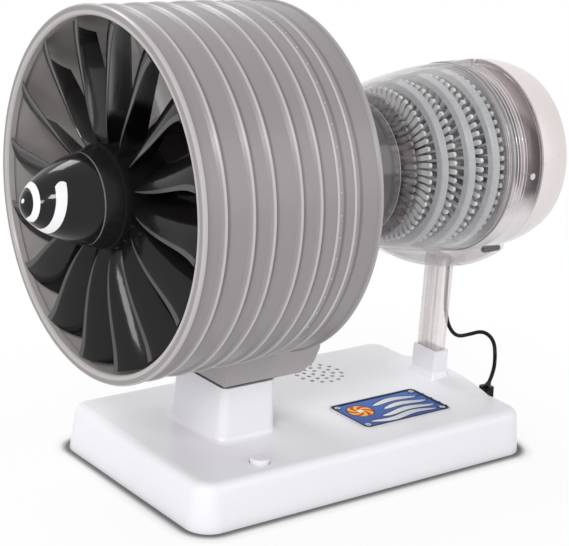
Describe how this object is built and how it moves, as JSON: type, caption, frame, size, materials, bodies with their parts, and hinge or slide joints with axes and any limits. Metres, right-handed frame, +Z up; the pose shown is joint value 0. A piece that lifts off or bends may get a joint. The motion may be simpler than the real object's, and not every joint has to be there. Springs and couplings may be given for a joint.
{
  "type": "jet engine model",
  "caption": "Desktop model of a turbofan on a moulded stand: a ribbed duct with a turning bladed fan, a clear casing with bladed rows, and a push button.",
  "frame": {"origin": "middle of the base's underside, on the table", "axes": "+X from the intake to the exhaust along the engine, +Z up, -Y the side with the button and the plate"},
  "size_m": [0.347, 0.1976, 0.2686],
  "materials": {
    "base_white": "smooth, semi-gloss moulding",
    "cell_jacket": "printed jacket",
    "spring_steel": "nickel plated",
    "board_green": "solder mask",
    "switch_black": "matt",
    "button_white": "smooth",
    "speaker_black": "matt",
    "badge_face": "printed plate",
    "lead_black": "smooth jacket",
    "clear_plastic": "clear moulding",
    "screw_steel": "plated",
    "duct_grey": "semi-gloss moulding",
    "vane_grey": "semi-gloss moulding",
    "cowl_grey": "semi-gloss moulding",
    "bearing_bronze": "sintered",
    "spinner_black": "glossy",
    "fan_black": "glossy",
    "shaft_steel": "ground",
    "disc_pale": "semi-gloss moulding",
    "cone_grey": "semi-gloss moulding",
    "gear_white": "acetal",
    "gear_brass": "turned",
    "motor_steel": "plated",
    "bulkhead_grey": "semi-gloss moulding",
    "liner_silver": "silver",
    "lamp_red": "tinted lens",
    "nozzle_pearl": "pearl",
    "clip_dark": "smooth",
    "disc_dark": "semi-gloss moulding",
    "ring_pale": "semi-gloss moulding"
  },
  "bodies": {
    "stand": {"base_shell": "base_white", "base_floor": "base_white", "battery_door": "base_white", "battery_cells": "cell_jacket", "battery_contacts": "spring_steel", "circuit_board": "board_green", "tact_switch": "switch_black", "speaker": "speaker_black", "badge_plate": "badge_face", "power_socket": "switch_black", "lead_plug": "lead_black", "power_lead": "lead_black", "lead_grommet": "clear_plastic", "base_screws": "screw_steel", "saddle_screws": "screw_steel", "rear_post": "clear_plastic", "duct_saddle": "duct_grey", "fan_duct": "duct_grey", "guide_vanes": "vane_grey", "core_cowl": "cowl_grey", "front_bearing": "bearing_bronze", "rear_bearing": "bearing_bronze", "gear_plate": "cowl_grey", "motor_can": "motor_steel", "casing_left": "clear_plastic", "casing_right": "clear_plastic", "rear_bulkhead": "bulkhead_grey", "combustor_case": "clear_plastic", "combustor_liner": "liner_silver", "lamp_board": "board_green", "combustor_lamps": "lamp_red", "case_screws": "screw_steel", "exhaust_nozzle": "nozzle_pearl", "belly_fairing": "clear_plastic", "case_clips": "clip_dark", "stator_ring_1": "ring_pale", "stator_ring_2": "ring_pale", "stator_ring_3": "ring_pale"},
    "rotor": {"spinner": "spinner_black", "fan_rotor": "fan_black", "rotor_shaft": "shaft_steel", "compressor_disc_1": "disc_dark", "compressor_disc_2": "disc_pale", "compressor_disc_3": "disc_pale", "compressor_disc_4": "disc_pale", "compressor_disc_5": "disc_pale", "turbine_disc": "disc_pale", "tail_cone": "cone_grey", "drive_gear": "gear_white"},
    "power_button": {"push_button": "button_white", "switch_plunger": "switch_black"},
    "motor_shaft": {"motor_pinion": "gear_brass"}
  },
  "joints": [
    {"name": "rotor_spin", "type": "hinge", "parent": "stand", "child": "rotor", "pos_m": [0, 0, 0.1698], "axis": [1, 0, 0], "continuous": true},
    {"name": "motor_spin", "type": "hinge", "parent": "stand", "child": "motor_shaft", "pos_m": [0, 0, 0.1482], "axis": [1, 0, 0], "continuous": true},
    {"name": "button_press", "type": "slide", "parent": "stand", "child": "power_button", "axis": [0, 0, -1], "range_m": [0, 0.0012], "stiffness_N_per_m": 300, "springref_m": -0.0005}
  ],
  "couplings": [
    {"joint": "motor_spin", "follows": "rotor_spin", "ratio": -3}
  ]
}
